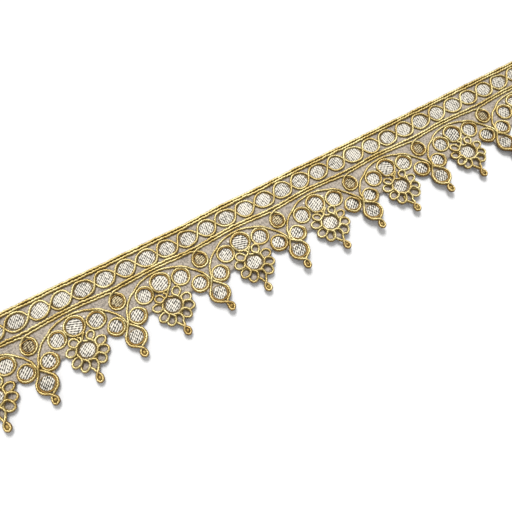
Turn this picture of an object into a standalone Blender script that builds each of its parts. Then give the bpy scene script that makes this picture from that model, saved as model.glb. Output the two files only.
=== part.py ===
"""Gota lace trim: a cut length of sheer ribbon with couched gold cords, woven metal rounds
and a scalloped edge of round pendants and looped flowers.

The trim lies along X with its straight edge towards +Y and its drops towards -Y.
Sizes below are in millimetres. The chart of one repeat is given as (along, across):
along from the axis of a pendant, across from the chart's zero line towards the drops.
"""

import bpy
import bmesh
import math
from mathutils import Vector, geometry

# Overall sizes
MM = 0.001
REPEAT = 46.0
FIRST_PENDANT = -3
LAST_PENDANT = 3
HALF_LENGTH = 3.9 * REPEAT

# Ground cloth and cords
CLOTH = 1.0
SEAM_GAP = 0.3
BED = CLOTH + SEAM_GAP
CORD = 1.0
CREST = 1.0
FLOOR = 0.45
MERGE = 0.04

# Lines across the trim
TOP_EDGE = -33.3
TOP_CORD_OUTER = -32.7
TOP_CORD_INNER = -31.2
BORDER_LINE = -25.6
LOWER_CORD_UPPER = -19.5
LOWER_CORD_LOWER = -18.0
LOWER_BULGE = 0.4
NET_HEM = 1.2
HINGE = -4.0
TIP = 19.6

# Border of rounds
BORDER_PITCH = REPEAT / 4
BORDER_SHIFT = -0.4
BORDER_REACH = 6.25
BORDER_HALF = 4.7

# How the straight edge strays across, at every half repeat from the left end
EDGE_SWAY = (0.0, 0.0, -0.2, -0.2, 0.2, 0.3, 0.6, -0.2, 0.1,
             -0.4, -0.2, -0.2, -0.3, -0.3, -0.4, -0.4, -0.4)

# How far the tips stand off the table, at every half repeat from the left end
TIP_RISE = (1.0, 1.0, 1.0, 0.8, 1.2, 1.0, 1.6, 1.2, 2.2,
            1.6, 2.8, 1.8, 2.2, 1.4, 1.8, 1.2, 1.2)

# Rounds of one repeat: name, along, across, radius
ARCH_ROUNDS = (
    ("left", 13.0, -8.2, 4.9),
    ("top", 22.8, -10.5, 5.6),
    ("right", 33.3, -8.4, 5.0),
)
ARCH_CORD = (
    (1.7, -4.4), (3.5, -7.4), (5.6, -10.0), (7.6, -11.5), (9.7, -12.0),
    (12.2, -14.4), (16.0, -15.9), (20.5, -16.6), (25.0, -16.6), (29.5, -15.7),
    (33.0, -14.0), (36.0, -12.7), (39.3, -10.1), (42.0, -7.3), (44.1, -4.4),
)
SIDE_ROUNDS = (
    ("left", -5.6, -0.5, 4.8),
    ("right", 5.7, -0.5, 4.8),
)
KNOT = (0.0, 0.8)
BIG_ROUND = (0.8, 8.7, 5.5)
SMALL_DROP = 2.1
DROP_NECK = 8.6

GOLD_ROUND = (0.0, -11.9, 2.9)
GOLD_LOOP = 4.3
LOOP_KNOT_WIDTH = 2.4

# Petals of the flower round its middle: degrees from +along, distance, radius
FLOWER = (23.5, 3.1, 5.5)
PETALS = (
    (-54, 7.4, 2.5), (-12, 7.6, 2.6), (27, 7.6, 2.6), (58, 7.7, 2.7), (91, 7.4, 2.3),
    (122, 7.7, 2.7), (155, 7.6, 2.6), (194, 7.6, 2.6), (231, 7.4, 2.6),
)
BOTTOM_PETAL = PETALS[4]
FLOWER_DROP = 14.6
FLOWER_BACKING = 7.6
LINK = ((23.9, -4.3), (23.2, -2.9), (23.7, -1.6))

# Hand-made strays: along and across shift of the hanging piece, lean of its drop
PENDANT_STRAY = {-3: (0.0, 0.0, 0.3), -2: (-0.3, 0.0, 0.0), -1: (-0.3, 0.0, 1.8), 0: (0.6, -0.4, -0.4),
                 1: (0.8, -0.5, -0.3), 2: (0.3, -0.2, 0.0), 3: (0.0, 0.0, 0.4)}
FLOWER_STRAY = {-4: (0.0, 0.0, 0.0), -3: (0.0, 0.0, -0.4), -2: (-0.3, -0.1, 0.4), -1: (0.2, -0.4, -0.4),
                0: (0.5, -0.4, 0.9), 1: (0.3, -0.3, 0.2), 2: (0.0, 0.0, 0.0), 3: (0.0, 0.0, 0.3)}

# Colour, roughness and metallic of each kind of piece
FINISHES = {
    "net": ((0.43, 0.37, 0.30), 0.75, 0.0),
    "gold_cord": ((0.56, 0.40, 0.15), 0.42, 0.75),
    "cord_and_rounds": ((0.66, 0.55, 0.34), 0.40, 0.80),
    "crinkled_gold": ((0.42, 0.31, 0.14), 0.38, 0.85),
}


def half_repeat_value(table, x):
    """The table's value at x, read straight between its half repeats."""
    place = (x + 4 * REPEAT) / (REPEAT / 2)
    place = min(max(place, 0.0), len(table) - 1.001)
    step = int(place)
    return table[step] + (table[step + 1] - table[step]) * (place - step)


def plan(repeat, along, across):
    """A point of the chart of one repeat, seen from above."""
    return Vector((repeat * REPEAT + along, -across))


def lift(x, y):
    """Height at which the cloth's underside lies: flat, then rising evenly to the tips."""
    across = -y
    if across <= HINGE:
        return 0.0
    return half_repeat_value(TIP_RISE, x) * (across - HINGE) / (TIP - HINGE)


def in_polygon(point, corners):
    """Whether a point is inside a polygon, by the crossings of a ray."""
    inside = False
    previous = corners[-1]
    for corner in corners:
        if (corner.y > point.y) != (previous.y > point.y):
            share = (point.y - corner.y) / (previous.y - corner.y)
            if point.x < corner.x + share * (previous.x - corner.x):
                inside = not inside
        previous = corner
    return inside


def ring_points(centre, reach, half, sides, turn=0.0):
    """Corners of a round or oval polygon, the first one at the angle turn from X."""
    corners = []
    for side in range(sides):
        angle = turn + math.tau * side / sides
        corners.append(centre + Vector((reach * math.cos(angle), half * math.sin(angle))))
    return corners


class Round:
    """A cord laid round a flat woven round, or round nothing where floor is 0."""

    def __init__(self, centre, radius, sides, floor=FLOOR, half=None, turn=0.0):
        self.centre = centre
        self.turn = turn
        self.reach = radius
        self.half = half or radius
        self.sides = sides
        self.floor = floor

    def ring(self, inset):
        return ring_points(self.centre, self.reach - inset, self.half - inset, self.sides, self.turn)

    def outlines(self):
        return [(self.ring(0.0), True), (self.ring(CORD), True)]

    def inner_lines(self):
        crest = [(self.ring(CORD / 2), True)]
        return crest + [(self.ring(CORD), True)] if self.floor > 0 else crest

    def holds(self, point):
        if not in_polygon(point, self.ring(0.0)):
            return False
        return self.floor > 0 or not in_polygon(point, self.ring(CORD))

    def height(self, point):
        """The floor inside, the crest half a cord in from the rim, and nothing at the rim."""
        offset = point - self.centre
        scaled = Vector((offset.x / self.reach, offset.y / self.half)).length
        inset = (1.0 - scaled) * self.reach * math.cos(math.pi / self.sides)
        if inset <= CORD / 2:
            return max(inset, 0.0) / (CORD / 2) * CREST
        share = min((inset - CORD / 2) / (CORD / 2), 1.0)
        return CREST + (self.floor - CREST) * share


class Cord:
    """A couched cord along a line of points."""

    def __init__(self, points, width=CORD):
        self.points = points
        self.width = width
        self.edge = self.outline()

    def side_step(self, index):
        before = self.points[max(index - 1, 0)]
        after = self.points[min(index + 1, len(self.points) - 1)]
        along = (after - before).normalized()
        return Vector((-along.y, along.x)) * self.width / 2

    def outline(self):
        left = []
        right = []
        for index, point in enumerate(self.points):
            left.append(point + self.side_step(index))
            right.append(point - self.side_step(index))
        return left + right[::-1]

    def outlines(self):
        return [(self.edge, True)]

    def inner_lines(self):
        return [(self.points, False)]

    def holds(self, point):
        return in_polygon(point, self.edge)

    def height(self, point):
        """Full along the crest, falling evenly to the cord's two sides."""
        nearest = self.width
        for start, end in zip(self.points, self.points[1:]):
            span = end - start
            share = min(max((point - start).dot(span) / span.length_squared, 0.0), 1.0)
            nearest = min(nearest, (point - start - span * share).length)
        return max(1.0 - nearest / (self.width / 2), 0.0) * CREST


class Sheet:
    """A flat piece of cloth with a polygon outline."""

    def __init__(self, corners):
        self.corners = corners

    def outlines(self):
        return [(self.corners, True)]

    def holds(self, point):
        return in_polygon(point, self.corners)


def net_of_lines(lines, loose_points=()):
    """Triangles between all the lines, with their crossings as points."""
    points = [Vector(point) for point in loose_points]
    edges = []
    for line, closed in lines:
        first = len(points)
        points.extend(line)
        edges.extend((index, index + 1) for index in range(first, len(points) - 1))
        if closed:
            edges.append((len(points) - 1, first))
    found = geometry.delaunay_2d_cdt(points, edges, [], 0, MERGE)
    return found[0], [tuple(face) for face in found[2]]


def turned_up(places, face):
    """The face with its corners counter-clockwise."""
    a, b, c = (places[index] for index in face)
    if (b - a).cross(c - a) < 0:
        return face[::-1]
    return face


def kept_faces(places, faces, features):
    """The triangles that some feature covers, counter-clockwise."""
    kept = []
    for face in faces:
        middle = (places[face[0]] + places[face[1]] + places[face[2]]) / 3
        if any(feature.holds(middle) for feature in features):
            kept.append(turned_up(places, face))
    return kept


def edge_uses(faces):
    """Each edge of the triangles with the faces beside it."""
    uses = {}
    for face in faces:
        for a, b in zip(face, face[1:] + face[:1]):
            uses.setdefault(frozenset((a, b)), []).append(face)
    return uses


def merged_outline(features):
    """The short lines round everything that the features cover together."""
    lines = [line for feature in features for line in feature.outlines()]
    places, faces = net_of_lines(lines)
    faces = kept_faces(places, faces, features)
    border = [edge for edge, beside in edge_uses(faces).items() if len(beside) == 1]
    return [([places[index] for index in edge], False) for edge in border]


def split_low_edges(places, faces, rim):
    """Gives each inner edge between two rim points a middle point, which can then be raised."""
    while True:
        low = [edge for edge, beside in edge_uses(faces).items() if len(beside) == 2 and edge <= rim]
        if not low:
            return faces
        edge = low[0]
        start, end = tuple(edge)
        places.append((places[start] + places[end]) / 2)
        middle = len(places) - 1
        split = []
        for face in faces:
            if start in face and end in face:
                split.append(tuple(middle if index == start else index for index in face))
                split.append(tuple(middle if index == end else index for index in face))
            else:
                split.append(face)
        faces = split


def make_object(name, vertices, faces, finish):
    """A mesh object of its own, with its own material."""
    mesh = bpy.data.meshes.new(name)
    mesh.from_pydata(vertices, [], faces)
    shape = bmesh.new()
    shape.from_mesh(mesh)
    loose = [vertex for vertex in shape.verts if not vertex.link_faces]
    bmesh.ops.delete(shape, geom=loose, context="VERTS")
    bmesh.ops.recalc_face_normals(shape, faces=shape.faces)
    shape.to_mesh(mesh)
    shape.free()
    colour, roughness, metallic = FINISHES[finish]
    material = bpy.data.materials.new(name)
    material.use_nodes = True
    surface = material.node_tree.nodes["Principled BSDF"]
    surface.inputs["Base Color"].default_value = (*colour, 1.0)
    surface.inputs["Roughness"].default_value = roughness
    surface.inputs["Metallic"].default_value = metallic
    mesh.materials.append(material)
    made = bpy.data.objects.new(name, mesh)
    bpy.context.scene.collection.objects.link(made)
    return made


def raised_piece(name, features, finish):
    """Cords and rounds joined into one closed body that lies on the cloth.

    Seen from above the features are merged into one outline. The underside is that outline
    on the bed, and the top rises from the rim to the highest feature at each point.
    """
    lines = merged_outline(features)
    lines += [line for feature in features for line in feature.inner_lines()]
    places, faces = net_of_lines(lines)
    faces = kept_faces(places, faces, features)
    border = [edge for edge, beside in edge_uses(faces).items() if len(beside) == 1]
    rim = frozenset(index for edge in border for index in edge)
    faces = split_low_edges(places, faces, rim)
    under_lines = [([places[index] for index in edge], False) for edge in border]
    under_places, under_faces = net_of_lines(under_lines)
    under_faces = kept_faces(under_places, under_faces, features)
    rim_at = {(round(places[index].x, 4), round(places[index].y, 4)): index for index in rim}
    same = [rim_at[(round(place.x, 4), round(place.y, 4))] for place in under_places]
    vertices = []
    for index, place in enumerate(places):
        rise = 0.0 if index in rim else max(feature.height(place) for feature in features)
        rise = 0.0 if index in rim else max(rise, FLOOR / 2)
        vertices.append(Vector((place.x, place.y, BED + rise + lift(place.x, place.y))) * MM)
    underside = [tuple(same[index] for index in reversed(face)) for face in under_faces]
    return make_object(name, vertices, faces + underside, finish)


def ground_cloth(features, fold_points):
    """The sheer ribbon: one sheet of even thickness that follows the lift."""
    places, faces = net_of_lines(merged_outline(features), fold_points)
    faces = kept_faces(places, faces, features)
    border = {edge for edge, beside in edge_uses(faces).items() if len(beside) == 1}
    count = len(places)
    vertices = []
    for level in (CLOTH, 0.0):
        for place in places:
            vertices.append(Vector((place.x, place.y, level + lift(place.x, place.y))) * MM)
    closed = list(faces)
    for face in faces:
        closed.append(tuple(index + count for index in reversed(face)))
        for a, b in zip(face, face[1:] + face[:1]):
            if frozenset((a, b)) in border:
                closed.append((b, a, a + count))
                closed.append((b, a + count, b + count))
    return make_object("net_ground", vertices, closed, "net")


def sway(x):
    return half_repeat_value(EDGE_SWAY, x)


def lower_sway(x):
    """The lower rail bulges up over each flower and follows half of the edge's straying."""
    return LOWER_BULGE * math.cos(math.tau * x / REPEAT) + 0.5 * sway(x)


def rail(across, strays):
    """Points of a cord that runs the whole length."""
    steps = round(2 * HALF_LENGTH / (REPEAT / 6))
    points = []
    for step in range(steps + 1):
        x = (HALF_LENGTH - CORD / 2) * (2 * step / steps - 1)
        points.append(Vector((x, -(across + strays(x)))))
    return points


def trimmed(points):
    """The line with what runs past the cut ends taken off."""
    limit = HALF_LENGTH - CORD / 2
    kept = []
    for before, point in zip([points[0]] + points, points):
        if (abs(before.x) > limit) != (abs(point.x) > limit):
            side = math.copysign(limit, point.x)
            share = (side - before.x) / (point.x - before.x)
            kept.append(before + (point - before) * share)
        if abs(point.x) <= limit:
            kept.append(point)
    return kept


def make_rails():
    raised_piece("top_cord_outer", [Cord(rail(TOP_CORD_OUTER, sway))], "gold_cord")
    raised_piece("top_cord_inner", [Cord(rail(TOP_CORD_INNER, sway))], "gold_cord")
    raised_piece("lower_cord_upper", [Cord(rail(LOWER_CORD_UPPER, lower_sway))], "gold_cord")
    looped = [Cord(rail(LOWER_CORD_LOWER, lower_sway))]
    along, across, _ = GOLD_ROUND
    for repeat in range(FIRST_PENDANT, LAST_PENDANT + 1):
        looped.append(Round(plan(repeat, along, across), GOLD_LOOP, 10, floor=0.0))
        knot_top = plan(repeat, along, LOWER_CORD_LOWER + LOWER_BULGE + 0.1)
        knot_end = plan(repeat, along, across - GOLD_LOOP + 0.7)
        looped.append(Cord([knot_top, knot_end], LOOP_KNOT_WIDTH))
    raised_piece("lower_cord_looped", looped, "gold_cord")


def make_border():
    """The row of woven rounds that the two waved cords hold between their crossings."""
    count = int((HALF_LENGTH - BORDER_REACH + BORDER_SHIFT) / BORDER_PITCH)
    rounds = []
    for step in range(-count, count + 1):
        x = step * BORDER_PITCH + BORDER_SHIFT
        centre = Vector((x, -(BORDER_LINE + sway(x))))
        rounds.append(Round(centre, BORDER_REACH, 10, half=BORDER_HALF))
    raised_piece("border_chain", rounds, "cord_and_rounds")


def make_gold_rounds():
    along, across, radius = GOLD_ROUND
    for number, repeat in enumerate(range(FIRST_PENDANT, LAST_PENDANT + 1), 1):
        flat = Round(plan(repeat, along, across), radius, 10)
        raised_piece(f"gold_round_{number}", [flat], "crinkled_gold")


def make_arches():
    for number, repeat in enumerate(range(FIRST_PENDANT - 1, LAST_PENDANT + 1), 1):
        features = [Cord(trimmed([plan(repeat, *point) for point in ARCH_CORD]))]
        for _, along, across, radius in ARCH_ROUNDS:
            features.append(Round(plan(repeat, along, across), radius, 12))
        raised_piece(f"arch_{number}", features, "cord_and_rounds")


def hanging_drop(repeat, along, across, start, lean):
    """A small looped drop on a short neck, hanging below a motif."""
    centre = plan(repeat, along + lean, across)
    top = plan(repeat, along, start)
    neck = Cord([top, centre + (top - centre).normalized() * (SMALL_DROP - CORD / 2)], 1.5 * CORD)
    return [neck, Round(centre, SMALL_DROP, 8)]


def big_round_at(repeat):
    along, across, _ = BIG_ROUND
    stray_along, stray_across, lean = PENDANT_STRAY[repeat]
    return along + stray_along, across + stray_across, lean


def make_pendants():
    """Two side rounds, the cords that cross at the knot, the big round and its drop."""
    for number, repeat in enumerate(range(FIRST_PENDANT, LAST_PENDANT + 1), 1):
        along, across, lean = big_round_at(repeat)
        radius = BIG_ROUND[2]
        features = [Round(plan(repeat, along, across), radius, 12)]
        for _, side_along, side_across, side_radius in SIDE_ROUNDS:
            features.append(Round(plan(repeat, side_along, side_across), side_radius, 12))
        for side in (-1, 1):
            top = plan(repeat, 1.35 * side, -3.3)
            upper = plan(repeat, 0.5 * side, -0.8)
            knot = plan(repeat, *KNOT)
            end = plan(repeat, along - 4.3 * side, across - 2.4)
            features.append(Cord([top, upper, knot, end]))
        features += hanging_drop(repeat, along, across + DROP_NECK, across + radius - CORD / 2, lean)
        raised_piece(f"pendant_{number}", features, "cord_and_rounds")


def flower_middle(repeat):
    along, across, _ = FLOWER
    stray_along, stray_across, lean = FLOWER_STRAY[repeat]
    return along + stray_along, across + stray_across, lean


def petal_places(repeat):
    """Centre, radius and outward angle of each petal of one flower."""
    along, across, _ = flower_middle(repeat)
    for degrees, distance, radius in PETALS:
        angle = math.radians(degrees)
        centre = plan(repeat, along + distance * math.cos(angle), across + distance * math.sin(angle))
        yield centre, radius, -angle


def make_flowers():
    """A woven middle, nine looped petals, the link to the arch and a drop."""
    for number, repeat in enumerate(range(FIRST_PENDANT - 1, LAST_PENDANT + 1), 1):
        along, across, lean = flower_middle(repeat)
        features = [Round(plan(repeat, along, across), FLOWER[2], 12)]
        for centre, radius, turn in petal_places(repeat):
            features.append(Round(centre, radius, 8, floor=0.0, turn=turn))
        features.append(Cord([plan(repeat, *point) for point in LINK]))
        petal_end = across + BOTTOM_PETAL[1] + BOTTOM_PETAL[2] - CORD / 2
        features += hanging_drop(repeat, along, across + FLOWER_DROP, petal_end, lean)
        raised_piece(f"flower_{number}", features, "cord_and_rounds")


def make_ground():
    """The ribbon's outline: a straight top, a hem between the motifs and a lobe under each."""
    steps = round(2 * HALF_LENGTH / (REPEAT / 4))
    top = []
    for step in range(steps + 1):
        x = HALF_LENGTH * (2 * step / steps - 1)
        top.append(Vector((x, -(TOP_EDGE + sway(x)))))
    hem = [Vector((side * HALF_LENGTH, -NET_HEM)) for side in (1, -1)]
    features = [Sheet(top + hem)]
    inset = CORD / 2
    for repeat in range(FIRST_PENDANT, LAST_PENDANT + 1):
        along, across, _ = big_round_at(repeat)
        backing = BIG_ROUND[2] - inset
        features.append(Sheet(ring_points(plan(repeat, along, across), backing, backing, 12)))
        neck = [(-3.2, 0.5), (3.4, 0.5), (along + 3.6, across - 3.0), (along - 3.6, across - 3.0)]
        features.append(Sheet([plan(repeat, *corner) for corner in neck]))
        for _, side_along, side_across, radius in SIDE_ROUNDS:
            centre = plan(repeat, side_along, side_across)
            features.append(Sheet(ring_points(centre, radius - inset, radius - inset, 12)))
    for repeat in range(FIRST_PENDANT - 1, LAST_PENDANT + 1):
        along, across, _ = flower_middle(repeat)
        middle = plan(repeat, along, across)
        features.append(Sheet(ring_points(middle, FLOWER_BACKING, FLOWER_BACKING, 14)))
        for centre, radius, turn in petal_places(repeat):
            features.append(Sheet(ring_points(centre, radius - inset, radius - inset, 8, turn)))
    fold_steps = round(2 * HALF_LENGTH / (REPEAT / 4))
    folds = [Vector((-HALF_LENGTH + step * REPEAT / 4, -HINGE)) for step in range(1, fold_steps)]
    ground_cloth(features, folds)


def clear_scene():
    for old in list(bpy.data.objects):
        bpy.data.objects.remove(old, do_unlink=True)


def set_on_origin():
    """Brings the middle of the whole outline to the origin."""
    corners = [vertex.co for piece in bpy.data.objects for vertex in piece.data.vertices]
    shift = Vector((
        (min(c.x for c in corners) + max(c.x for c in corners)) / 2,
        (min(c.y for c in corners) + max(c.y for c in corners)) / 2,
        min(c.z for c in corners),
    ))
    for piece in bpy.data.objects:
        for vertex in piece.data.vertices:
            vertex.co -= shift
    return shift


def main():
    clear_scene()
    make_ground()
    make_rails()
    make_border()
    make_gold_rounds()
    make_arches()
    make_pendants()
    make_flowers()
    set_on_origin()


main()
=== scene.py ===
"""Gota lace trim: a sheer ribbon with twisted gold cords, woven silver rounds and a scalloped edge.

The trim lies along X with its straight edge towards +Y. Its chart is in millimetres: x along the
trim, across from the chart's zero line towards the drops, and z up from the table.
"""

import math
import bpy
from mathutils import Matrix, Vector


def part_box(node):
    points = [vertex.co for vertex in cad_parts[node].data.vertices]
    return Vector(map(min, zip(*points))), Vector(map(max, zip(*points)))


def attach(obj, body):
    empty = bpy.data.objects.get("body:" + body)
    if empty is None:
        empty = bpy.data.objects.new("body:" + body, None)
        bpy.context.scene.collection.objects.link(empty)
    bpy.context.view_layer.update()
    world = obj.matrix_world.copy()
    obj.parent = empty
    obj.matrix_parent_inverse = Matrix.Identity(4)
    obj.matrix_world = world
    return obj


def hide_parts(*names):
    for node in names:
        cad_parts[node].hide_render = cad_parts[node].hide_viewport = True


bl_info = {
    "name": "Gota lace trim",
    "version": (1, 0, 0),
    "blender": (4, 5, 0),
    "location": "3D View > Sidebar > Trim",
    "description": "Ribbon, twisted cords, woven rounds and looped flowers of a gota lace trim",
    "category": "Add Mesh",
}

import bpy
import numpy as np
from mathutils import Matrix, Vector

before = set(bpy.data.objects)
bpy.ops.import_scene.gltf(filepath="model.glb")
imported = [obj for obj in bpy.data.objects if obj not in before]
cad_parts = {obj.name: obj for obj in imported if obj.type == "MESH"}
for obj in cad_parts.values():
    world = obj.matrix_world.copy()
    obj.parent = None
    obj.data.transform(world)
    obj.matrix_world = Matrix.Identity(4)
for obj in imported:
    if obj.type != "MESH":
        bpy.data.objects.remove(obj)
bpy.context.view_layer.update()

MM = 0.001
REPEAT = 46.0
PENDANTS = range(-3, 4)
FLOWERS = range(-4, 4)
HALF_LENGTH = 3.9 * REPEAT
CORD_END = HALF_LENGTH - 0.4

# Heights over the table
RIBBON_TOP = 1.12
RIBBON_THICK = 0.26
ROUND_TOP = 1.42
CORD_SEAT = 1.16

# Lines across the trim
TOP_EDGE = -33.3
TOP_CORD_OUTER = -32.95
TOP_CORD_INNER = -31.45
BORDER_LINE = -25.6
LOWER_CORD_UPPER = -19.5
LOWER_CORD_LOWER = -18.0
LOWER_BULGE = 0.4
RAIL_LAY = 1.3
RAIL_THICK = 1.16
NET_HEM = 1.2
HINGE = -4.0
TIP = 19.6

BORDER_PITCH = REPEAT / 4
BORDER_SHIFT = -0.4
BORDER_COUNT = 15

# How the straight edge strays across, and how far the tips stand up, at every half repeat
HALF_REPEATS = np.arange(-8, 9) * REPEAT / 2
EDGE_SWAY = (0.0, 0.0, -0.2, -0.2, 0.2, 0.3, 0.6, -0.2, 0.1,
             -0.4, -0.2, -0.2, -0.3, -0.3, -0.4, -0.4, -0.4)
TIP_RISE = (1.0, 1.0, 1.0, 0.8, 1.2, 1.0, 1.6, 1.2, 2.2,
            1.6, 2.8, 1.8, 2.2, 1.4, 1.8, 1.2, 1.2)

# Rounds of one repeat: along, across, radius out to the cord's outer side
ARCH_ROUNDS = ((13.0, -8.2, 4.9), (22.8, -10.5, 5.6), (33.3, -8.4, 5.0))
SIDE_ROUNDS = ((-5.6, -0.5, 4.8), (5.7, -0.5, 4.8))
BIG_ROUND = (0.8, 8.7, 5.5)
GOLD_ROUND = (0.0, -11.9, 3.05)
DROP_NECK = 8.8
DROP_WIDE = 1.45
DROP_LONG = 1.85
ARCH_CORD = (
    (1.7, -4.4), (3.5, -7.4), (5.6, -10.0), (7.6, -11.5), (9.7, -12.6),
    (12.6, -14.6), (16.0, -15.9), (20.5, -16.6), (25.0, -16.6), (29.5, -15.7),
    (33.0, -14.2), (36.2, -12.6), (39.3, -10.1), (42.0, -7.3), (44.1, -4.4),
)
RAIL_LOOP = (
    (-5.2, -18.05), (-2.6, -17.9), (-0.2, -17.2), (2.2, -15.8), (3.7, -13.6), (3.75, -11.0),
    (2.4, -8.9), (0.0, -8.1), (-2.5, -8.9), (-3.8, -11.2), (-3.5, -13.9), (-1.9, -16.0),
    (0.5, -17.3), (2.9, -17.9), (5.2, -18.05),
)

# Flower: middle, and its petals by angle, distance and radius
FLOWER = (23.5, 3.1)
PETALS = (
    (-54, 7.4, 2.5), (-12, 7.6, 2.6), (27, 7.7, 2.7), (58, 7.9, 2.8), (91, 7.9, 2.7),
    (122, 7.9, 2.8), (155, 7.6, 2.6), (194, 7.6, 2.6), (231, 7.4, 2.6),
)
PETAL_BASE = 5.0
PETAL_TURN = (148, 112, 74, 37, 0, -37, -74, -112, -148)
DROP_PETAL = 4
PETAL_LONG = 1.15
PETAL_WIDE = 0.94
FLOWER_NECK = 11.9
FLOWER_BACKING = 7.6
FLOWER_DROP = 15.0
FIBRE = 0.045
SPECKS = ((17.4, -13.6), (28.6, -12.7))
STAIN_FROM = 13.6
LINK_IN = ((25.6, -5.4), (24.3, -4.2), (23.3, -2.6), (24.2, -1.5), (26.2, -1.4))
LINK_OUT = ((21.2, -1.5), (22.6, -2.2), (22.9, -3.6), (21.8, -4.6))

# Hand-made strays: along and across shift of the hanging piece, lean of its drop
PENDANT_STRAY = {-3: (0.0, 0.0, 0.3), -2: (-0.3, 0.0, 0.0), -1: (-0.3, 0.0, 1.8), 0: (0.6, -0.4, -0.4),
                 1: (0.8, -0.5, -0.3), 2: (0.3, -0.2, 0.0), 3: (0.0, 0.0, 0.4)}
FLOWER_STRAY = {-4: (0.0, 0.0, 0.0), -3: (0.0, 0.0, -0.4), -2: (-0.3, -0.1, 0.4), -1: (0.2, -0.4, -0.4),
                0: (0.5, -0.4, 0.9), 1: (0.3, -0.3, 0.2), 2: (0.0, 0.0, 0.0), 3: (0.0, 0.0, 0.3)}

RIBBON_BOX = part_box("net_ground")
CHART_SHIFT = -(TOP_EDGE + min(EDGE_SWAY)) - RIBBON_BOX[1].y / MM


class TrimSizes(bpy.types.PropertyGroup):
    """Sizes of the cords and the weave."""

    cord: bpy.props.FloatProperty(
        name="Cord", description="Thickness of the gold cords", default=1.16 * MM,
        subtype="DISTANCE", unit="LENGTH")
    lay: bpy.props.FloatProperty(
        name="Lay", description="Length of one full turn of the twist", default=2.9 * MM,
        subtype="DISTANCE", unit="LENGTH")
    step: bpy.props.FloatProperty(
        name="Step", description="Length of one step along a cord", default=0.27 * MM,
        subtype="DISTANCE", unit="LENGTH")
    weave: bpy.props.FloatProperty(
        name="Weave", description="Width of one strip of the woven rounds", default=0.80 * MM,
        subtype="DISTANCE", unit="LENGTH")


class TrimColours(bpy.types.PropertyGroup):
    """Colours of the threads."""

    # Painted highlight: the colour given to the top of every gold cord.
    gold_painted_highlight: bpy.props.FloatVectorProperty(
        name="Gold, light", description="Worn crown of a gold cord", default=(0.96, 0.83, 0.42),
        subtype="COLOR", size=3)
    gold_body: bpy.props.FloatVectorProperty(
        name="Gold, body", description="Body of a gold cord", default=(0.56, 0.42, 0.12),
        subtype="COLOR", size=3)
    # Painted shade: the colour given to the grooves between strands and to the sides and underside of every gold cord.
    gold_painted_shade: bpy.props.FloatVectorProperty(
        name="Gold, deep", description="Groove between gold strands", default=(0.165, 0.10, 0.022),
        subtype="COLOR", size=3)
    amber: bpy.props.FloatVectorProperty(
        name="Amber", description="Threads under the outer cords", default=(0.31, 0.19, 0.045),
        subtype="COLOR", size=3)
    silver: bpy.props.FloatVectorProperty(
        name="Silver", description="Woven gota", default=(0.88, 0.82, 0.695),
        subtype="COLOR", size=3)
    ribbon: bpy.props.FloatVectorProperty(
        name="Ribbon", description="Sheer ribbon", default=(0.42, 0.36, 0.29),
        subtype="COLOR", size=3)


def edge_sway(x):
    return np.interp(x, HALF_REPEATS, EDGE_SWAY)


def lower_sway(x):
    """The lower rail bulges up over each flower and follows half of the edge's straying."""
    return LOWER_BULGE * np.cos(math.tau * x / REPEAT) + 0.5 * edge_sway(x)


def lift(x, across):
    """Flat up to the hinge line, then an even rise to the tips, as on the solids."""
    rise = np.interp(x, HALF_REPEATS, TIP_RISE)
    return rise * np.maximum(across - HINGE, 0.0) / (TIP - HINGE)


def to_world(chart):
    """Chart millimetres (x, across, z) to the row's metres."""
    return np.column_stack((chart[:, 0], -chart[:, 1] - CHART_SHIFT, chart[:, 2])) * MM


def stray(x, amount, length, seed):
    """A smooth hand-made stray: three sines of about that length with seeded phases."""
    draws = np.random.default_rng(seed)
    phases = draws.uniform(0, math.tau, 3)
    pitches = length * draws.uniform(0.6, 1.6, 3)
    waves = [np.sin(math.tau * x / pitch + phase) for pitch, phase in zip(pitches, phases)]
    return amount * sum(waves) / 2.0


def smooth_line(points, closed=False):
    """A curve through the points: between two of them, the Catmull-Rom cubic of their neighbours."""
    points = np.asarray(points, float)
    if closed:
        padded = np.vstack((points[-1:], points, points[:2]))
    else:
        padded = np.vstack((2 * points[0] - points[1], points, 2 * points[-1] - points[-2]))
    t = np.linspace(0, 1, 16, endpoint=False)[None, :, None]
    p0, p1, p2, p3 = (padded[i:len(padded) - 3 + i, None, :] for i in range(4))
    cubic = 0.5 * (2 * p1 + (p2 - p0) * t + (2 * p0 - 5 * p1 + 4 * p2 - p3) * t ** 2
                   + (3 * p1 - p0 - 3 * p2 + p3) * t ** 3)
    line = cubic.reshape(-1, points.shape[1])
    return line if closed else np.vstack((line, points[-1:]))


def even_steps(line, step, closed=False):
    """The same line with points at equal distances, close to the given step."""
    if closed:
        line = np.vstack((line, line[:1]))
    lengths = np.concatenate(([0.0], np.cumsum(np.linalg.norm(np.diff(line, axis=0), axis=1))))
    count = max(int(round(lengths[-1] / step)), 3)
    places = np.linspace(0, lengths[-1], count + 1)
    if closed:
        places = places[:-1]
    return np.column_stack([np.interp(places, lengths, line[:, axis]) for axis in range(line.shape[1])])


def round_line(x, across, radius, seed, half=None):
    """A closed ring with a slight hand-made stray in its radius."""
    angle = np.linspace(0, math.tau, 72, endpoint=False)
    draws = np.random.default_rng(seed)
    out_of_round = sum(draws.normal(0, 0.013) * np.cos(wave * angle + draws.uniform(0, math.tau))
                       for wave in (2, 3, 4))
    reach = radius * (1 + out_of_round)
    return np.column_stack((x + reach * np.cos(angle), across + reach * (half or radius) / radius * np.sin(angle)))


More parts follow.
